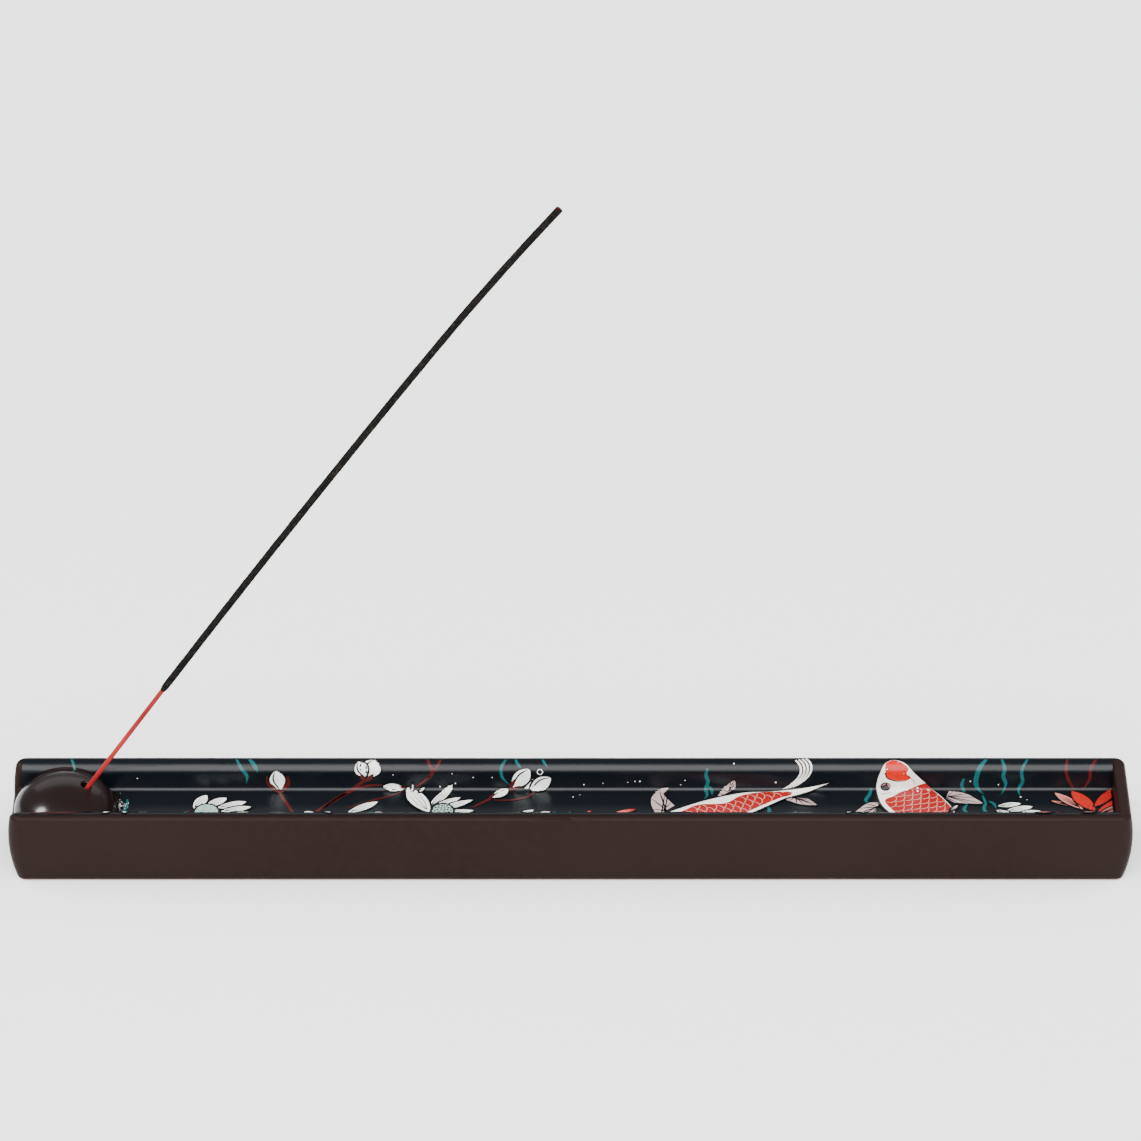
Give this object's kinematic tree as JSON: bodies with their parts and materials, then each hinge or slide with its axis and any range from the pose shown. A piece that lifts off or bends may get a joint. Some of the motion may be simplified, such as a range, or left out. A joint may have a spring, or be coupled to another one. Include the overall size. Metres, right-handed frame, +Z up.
{
  "type": "incense burner",
  "caption": "Long narrow glazed ceramic ash tray with a dome at one end that holds a leaning incense stick over a printed trough.",
  "frame": {"origin": "middle of the footprint, on the surface that the foot ring stands on", "axes": "+X along the tray, away from the dome; +Y across the tray to its back; +Z up"},
  "size_m": [0.292, 0.029, 0.1941],
  "materials": {
    "tray_glaze": "dark brown satin-gloss glaze, bare fired clay on the foot ring",
    "dome_glaze": "dark brown satin-gloss glaze",
    "printed_transfer": "glossy blue-black fired transfer with a pond picture of fish, lotus and weed",
    "dyed_bamboo": "matt split bamboo dyed red",
    "incense_paste": "matt granular charcoal and wood-powder paste"
  },
  "bodies": {
    "burner": {"tray_body": "tray_glaze", "stick_dome": "dome_glaze", "trough_decal": "printed_transfer"},
    "stick": {"stick_core": "dyed_bamboo", "stick_paste": "incense_paste"}
  },
  "joints": [
    {"name": "stick_slide", "type": "slide", "parent": "burner", "child": "stick", "axis": [0.5592, 0, 0.829], "range_m": [0, 0.045]}
  ]
}
